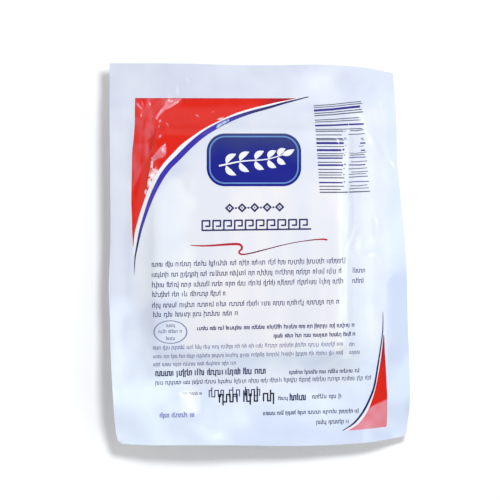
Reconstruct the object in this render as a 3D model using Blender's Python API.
"""Vacuum-packed halloumi block: one shut pack of formed white film, lying flat with its printed lid up.

A formed tray film and a printed lid film are drawn tight on a block of cheese and welded to each other
in a wide margin all round it. The pack can't be seen into, so it is one solid.

Origin: under the middle of the pack, on the surface that it lies on. +X to the pack's right,
+Y to its top edge, +Z up through the printed lid. Lengths are metres.
"""

import math

import bmesh
import bpy
from mathutils import Vector

MM = 0.001

# The block of cheese, as the films cover it.
BLOCK_WIDTH = 80 * MM
BLOCK_LENGTH = 94 * MM
BLOCK_HEIGHT = 30 * MM
BLOCK_CENTRE = Vector((-4 * MM, 5 * MM))
BLOCK_CORNER_RADIUS = 7 * MM
BLOCK_CORNER_STEPS = 6
LID_CROWN = 0.7 * MM

# The welded margin. Each edge is a few places in millimetres, clockwise from one corner of the pack to
# the next, seen from above. The cut runs a little wider towards the bottom, and its lower corners are
# clipped.
MARGIN_THICKNESS = 0.6 * MM
MARGIN_LEVEL = 23.2 * MM
TOP_EDGE = ((-61.5, 78.6), (-46.0, 78.5), (-31.0, 78.4), (-18.0, 78.0), (-4.0, 77.7), (11.0, 77.8), (24.0, 78.0),
            (34.0, 77.6), (44.0, 76.6), (54.0, 74.6))
RIGHT_EDGE = ((54.9, 73.8), (56.1, 56.0), (56.6, 38.0), (58.3, 19.0), (60.2, -2.0), (60.9, -27.0), (61.8, -48.2),
              (61.9, -62.3), (60.8, -74.0))
BOTTOM_EDGE = ((59.9, -75.1), (50.4, -76.8), (38.3, -77.9), (24.2, -78.5), (9.0, -78.6), (-8.0, -78.2),
               (-25.0, -78.0), (-40.0, -78.1), (-50.0, -78.1), (-56.6, -77.8))
LEFT_EDGE = ((-58.4, -76.3), (-59.2, -70.9), (-59.9, -58.7), (-60.8, -43.1), (-61.3, -27.0), (-61.8, -13.0),
             (-61.1, 6.0), (-61.1, 30.0), (-61.4, 54.0), (-61.5, 77.8))
SPOKES_ACROSS = 27
SPOKES_ALONG = 35
CURVE_STEPS = 24

# How far the lid film hangs clear of the block before it reaches the margin, on each side.
LID_REACH_LEFT = 12 * MM
LID_REACH_RIGHT = 13 * MM
LID_REACH_TOP = 13 * MM
LID_REACH_BOTTOM = 16 * MM
LID_EDGE_RADIUS = 4.5 * MM

# The tray film leaves the block's side below the margin, on a short web.
TRAY_REACH = 6 * MM
TRAY_WEB_DROP = 8 * MM
TRAY_DRAFT = 1.2 * MM
TRAY_BASE_RADIUS = 5 * MM

# Pleats: the slack that runs from each corner of the block out to the corner of the margin.
PLEAT_HEIGHT = 0.7 * MM
PLEAT_WIDTH = 4.5 * MM
PLEAT_LENGTH = 20 * MM
PLEAT_RISE_LENGTH = 5 * MM

# Long shallow waves along the margin, from the cooling of the weld. They grow to their full height over the
# spread, outward from the block.
WAVE_HEIGHT = 0.25 * MM
WAVE_LENGTH_X = 41 * MM
WAVE_LENGTH_Y = 53 * MM
WAVE_PHASE_X = -0.54
WAVE_PHASE_Y = 0.89
WAVE_SPREAD = 22 * MM

# Where the margin's edge curls up or droops: the place in millimetres, how far up, and how far the curl
# reaches. The lower right corner droops most, because nothing stiffens it there.
MARGIN_CURLS = (
    (TOP_EDGE[0], -1 * MM, 20 * MM),
    (RIGHT_EDGE[0], -0.5 * MM, 26 * MM),
    (BOTTOM_EDGE[0], -7 * MM, 75 * MM),
    (BOTTOM_EDGE[0], -6 * MM, 18 * MM),
    ((-24.0, -79.0), 3 * MM, 28 * MM),
    (LEFT_EDGE[0], -6 * MM, 18 * MM),
    ((-62.0, -57.0), 4.5 * MM, 38 * MM),
    ((-61.5, 35.0), 2 * MM, 45 * MM),
)

# Where the rings of the skin run. Shares are of the lid's reach, of the rest of the margin, of the tray's
# web, of the base's rounding, or of the way from the block's middle to its edge.
LID_FACE_RINGS = (0.22, 0.45, 0.66, 0.83)
LID_EDGE_RINGS = (-1.0, -0.62, -0.3)
LID_SLOPE_RINGS = (0.0, 0.16, 0.34, 0.54, 0.77, 1.0)
MARGIN_RINGS = (0.22, 0.45, 0.68, 0.88, 1.0)
WEB_RINGS = (1.0, 0.66, 0.38, 0.16, 0.0)
BASE_ROUNDING_RINGS = (0.0, 0.25, 0.5, 0.75, 1.0)
BASE_FACE_RINGS = (0.62, 0.3)

FILM_COLOUR = (0.83, 0.87, 0.93, 1.0)
FILM_ROUGHNESS = 0.24
SHARP_ANGLE = math.radians(50)


def clear_scene():
    """Takes every object out of the scene."""
    for thing in list(bpy.data.objects):
        bpy.data.objects.remove(thing, do_unlink=True)


def smooth_step(share):
    """0 below 0, 1 above 1, with a soft start and end."""
    share = min(1.0, max(0.0, share))
    return share * share * (3 - 2 * share)


def curve_through(points, count):
    """Count places, evenly spaced from the first point to just short of the last, on a smooth curve."""
    knots = [Vector(point) * MM for point in points]
    knots = [2 * knots[0] - knots[1]] + knots + [2 * knots[-1] - knots[-2]]
    fine = []
    for before, start, end, after in zip(knots, knots[1:], knots[2:], knots[3:]):
        for step in range(CURVE_STEPS):
            t = step / CURVE_STEPS
            fine.append(0.5 * (2 * start + (end - before) * t
                               + (2 * before - 5 * start + 4 * end - after) * t * t
                               + (3 * start - before - 3 * end + after) * t ** 3))
    fine.append(knots[-2])
    return evenly_spaced(fine, count)


def evenly_spaced(line, count):
    """Count places at equal steps along a line of points, the first one on its start, none on its end."""
    lengths = [0.0]
    for start, end in zip(line, line[1:]):
        lengths.append(lengths[-1] + (end - start).length)
    places = []
    piece = 0
    for index in range(count):
        target = lengths[-1] * index / count
        while lengths[piece + 1] < target:
            piece += 1
        share = (target - lengths[piece]) / (lengths[piece + 1] - lengths[piece])
        places.append(line[piece].lerp(line[piece + 1], share))
    return places


def margin_outline():
    """The cut edge of the pack, clockwise from the top left corner."""
    outline = []
    edges = (TOP_EDGE, RIGHT_EDGE, BOTTOM_EDGE, LEFT_EDGE)
    for number, edge in enumerate(edges):
        spokes = SPOKES_ACROSS if number % 2 == 0 else SPOKES_ALONG
        outline += curve_through(edge, spokes)
        outline.append(Vector(edge[-1]) * MM)
    return outline


def block_outline():
    """The block's upright sides seen from above, with a place for each one of the margin's outline."""
    half_width = BLOCK_WIDTH / 2
    half_length = BLOCK_LENGTH / 2
    radius = BLOCK_CORNER_RADIUS
    corners = ((-1, 1), (1, 1), (1, -1), (-1, -1))
    outline = []
    for number, (side_x, side_y) in enumerate(corners):
        next_x, next_y = corners[(number + 1) % 4]
        start_centre = Vector((side_x * (half_width - radius), side_y * (half_length - radius)))
        end_centre = Vector((next_x * (half_width - radius), next_y * (half_length - radius)))
        heading = math.pi * 0.75 - number * math.pi / 2
        turns = [math.pi / 4 * step / BLOCK_CORNER_STEPS for step in range(BLOCK_CORNER_STEPS + 1)]
        line = [start_centre + radius * direction(heading - turn) for turn in turns]
        line += [end_centre + radius * direction(heading - math.pi / 4 - turn) for turn in turns]
        spokes = SPOKES_ACROSS if number % 2 == 0 else SPOKES_ALONG
        outline += evenly_spaced(line, spokes + 1)
    return [BLOCK_CENTRE + place for place in outline]


def direction(angle):
    """The unit vector at an angle from +X."""
    return Vector((math.cos(angle), math.sin(angle)))


def distance_from_block(place):
    """How far a place lies outside the block's upright sides. Inside them it is negative."""
    offset = place - BLOCK_CENTRE
    beyond_x = abs(offset.x) - BLOCK_WIDTH / 2 + BLOCK_CORNER_RADIUS
    beyond_y = abs(offset.y) - BLOCK_LENGTH / 2 + BLOCK_CORNER_RADIUS
    outside = Vector((max(beyond_x, 0.0), max(beyond_y, 0.0))).length
    inside = min(max(beyond_x, beyond_y), 0.0)
    return outside + inside - BLOCK_CORNER_RADIUS


def lid_reach(place):
    """How wide the lid film's slope is in the direction of a place."""
    offset = place - BLOCK_CENTRE
    heading = Vector((offset.x / BLOCK_WIDTH, offset.y / BLOCK_LENGTH)).normalized()
    across = LID_REACH_RIGHT if heading.x > 0 else LID_REACH_LEFT
    along = LID_REACH_TOP if heading.y > 0 else LID_REACH_BOTTOM
    return across * heading.x ** 2 + along * heading.y ** 2


def margin_height(place):
    """The upper face of the welded margin: soft waves, with an edge that curls and droops."""
    spread = smooth_step(distance_from_block(place) / WAVE_SPREAD)
    waves = math.sin(2 * math.pi * place.x / WAVE_LENGTH_X + WAVE_PHASE_X)
    waves += math.sin(2 * math.pi * place.y / WAVE_LENGTH_Y + WAVE_PHASE_Y)
    height = MARGIN_LEVEL + WAVE_HEIGHT * spread * waves
    for curled, rise, reach in MARGIN_CURLS:
        height += rise * smooth_step(1 - (place - Vector(curled) * MM).length / reach)
    return height


def pleat_height(place):
    """The ridges of slack film at the block's four corners."""
    offset = place - BLOCK_CENTRE
    rounded_off = BLOCK_CORNER_RADIUS * (1 - math.sqrt(0.5))
    corner = Vector((BLOCK_WIDTH / 2 - rounded_off, BLOCK_LENGTH / 2 - rounded_off))
    outward = Vector((abs(offset.x), abs(offset.y))) - corner
    along = outward.dot(Vector((1, 1)).normalized())
    aside = outward.dot(Vector((1, -1)).normalized())
    rise = smooth_step(along / PLEAT_RISE_LENGTH) * smooth_step(1 - along / PLEAT_LENGTH)
    return PLEAT_HEIGHT * rise * math.exp(-(aside / PLEAT_WIDTH) ** 2)


def lid_height(place):
    """The printed side: flat on the block, rounded over its edge, then hanging in a hollow to the margin."""
    distance = distance_from_block(place)
    reach = lid_reach(place)
    margin = margin_height(place)
    inward = min(1.0, max(0.0, -distance / (BLOCK_WIDTH / 2)))
    rise = BLOCK_HEIGHT - LID_CROWN * (1 - inward) ** 2 - margin
    hanging_rise = rise / (1 + LID_EDGE_RADIUS / reach)
    if distance >= 0:
        drape = hanging_rise * max(0.0, 1 - distance / reach) ** 2
    else:
        rounding = max(0.0, distance + LID_EDGE_RADIUS)
        drape = rise - hanging_rise / (reach * LID_EDGE_RADIUS) * rounding ** 2
    return margin + drape + pleat_height(place)


def ring(bm, places, heights):
    """One closed ring of vertices round the pack."""
    return [bm.verts.new((place.x, place.y, height)) for place, height in zip(places, heights)]


def scaled_outline(outline, share):
    """The outline shrunk towards the block's middle."""
    return [BLOCK_CENTRE + (place - BLOCK_CENTRE) * share for place in outline]


def lid_rings(bm, block, margin):
    """The lid film, from the middle of the block out to the cut edge."""
    rings = []
    for share in LID_FACE_RINGS:
        places = scaled_outline(block, share)
        rings.append(ring(bm, places, map(lid_height, places)))
    for share in LID_EDGE_RINGS:
        places = scaled_outline(block, 1 + share * LID_EDGE_RADIUS / (BLOCK_WIDTH / 2))
        rings.append(ring(bm, places, map(lid_height, places)))
    for share in LID_SLOPE_RINGS:
        places = [at_reach(inner, outer, lid_reach(inner) * share) for inner, outer in zip(block, margin)]
        rings.append(ring(bm, places, map(lid_height, places)))
    for share in MARGIN_RINGS:
        places = margin_places(block, margin, share)
        rings.append(ring(bm, places, map(lid_height, places)))
    return rings


def at_reach(inner, outer, reach):
    """The place at a distance from the block on the line to the cut edge."""
    return inner + (outer - inner).normalized() * reach


def margin_places(block, margin, share):
    """The places at a share of the way from the foot of the lid's slope to the cut edge."""
    return [at_reach(inner, outer, lid_reach(inner)).lerp(outer, share)
            for inner, outer in zip(block, margin)]


def tray_rings(bm, block, margin):
    """The tray film, from the cut edge in under the margin, down the block's sides and across its base."""
    rings = []
    for share in reversed(MARGIN_RINGS):
        places = margin_places(block, margin, share)
        rings.append(ring(bm, places, [margin_height(place) - MARGIN_THICKNESS for place in places]))
    for share in WEB_RINGS:
        places = [at_reach(inner, outer, TRAY_REACH * share) for inner, outer in zip(block, margin)]
        drop = MARGIN_THICKNESS + TRAY_WEB_DROP * (1 - share) ** 2
        rings.append(ring(bm, places, [margin_height(place) - drop for place in places]))
    for share in BASE_ROUNDING_RINGS:
        turn = share * math.pi / 2
        inset = TRAY_DRAFT + TRAY_BASE_RADIUS * (1 - math.cos(turn))
        height = TRAY_BASE_RADIUS * (1 - math.sin(turn))
        places = scaled_outline(block, 1 - inset / (BLOCK_WIDTH / 2))
        rings.append(ring(bm, places, [height] * len(places)))
    for share in BASE_FACE_RINGS:
        places = scaled_outline(block, share)
        rings.append(ring(bm, places, [0.0] * len(places)))
    return rings


def apart(one, other):
    """How far apart two vertices are, seen from above."""
    return (one.co.xy - other.co.xy).length


def patch(bm, near, far, next_near, next_far):
    """Two triangles across four places, cut along the line that is shorter from above."""
    if apart(near, next_far) < apart(far, next_near):
        bm.faces.new((near, far, next_far))
        bm.faces.new((near, next_far, next_near))
    else:
        bm.faces.new((near, far, next_near))
        bm.faces.new((far, next_far, next_near))


def skin(bm, rings):
    """Joins each ring to the next, and closes the first and the last ring on a point.

    The two films of the margin are cut into the same triangles, so neither bends through the other.
    """
    count = len(rings[0])
    for inner, outer in zip(rings, rings[1:]):
        for index in range(count):
            following = (index + 1) % count
            patch(bm, inner[index], outer[index], inner[following], outer[following])
    for closing in (rings[0], rings[-1]):
        middle = sum((vertex.co for vertex in closing), Vector()) / count
        hub = bm.verts.new((BLOCK_CENTRE.x, BLOCK_CENTRE.y, middle.z))
        for index in range(count):
            bm.faces.new((hub, closing[index], closing[(index + 1) % count]))
    bmesh.ops.recalc_face_normals(bm, faces=bm.faces)


def film_material():
    """Glossy white polyamide and polyethylene film."""
    material = bpy.data.materials.new("pack_film")
    material.use_nodes = True
    shader = material.node_tree.nodes["Principled BSDF"]
    shader.inputs["Base Color"].default_value = FILM_COLOUR
    shader.inputs["Roughness"].default_value = FILM_ROUGHNESS
    shader.inputs["Metallic"].default_value = 0.0
    return material


def halloumi_pack():
    """The shut pack, from the printed lid to the flat base, as one closed skin."""
    block = block_outline()
    margin = margin_outline()
    bm = bmesh.new()
    skin(bm, lid_rings(bm, block, margin) + tray_rings(bm, block, margin))
    mesh = bpy.data.meshes.new("halloumi_pack")
    bm.to_mesh(mesh)
    bm.free()
    mesh.shade_smooth()
    mesh.set_sharp_from_angle(angle=SHARP_ANGLE)
    mesh.materials.append(film_material())
    pack = bpy.data.objects.new("halloumi_pack", mesh)
    bpy.context.scene.collection.objects.link(pack)
    return pack


clear_scene()
halloumi_pack()
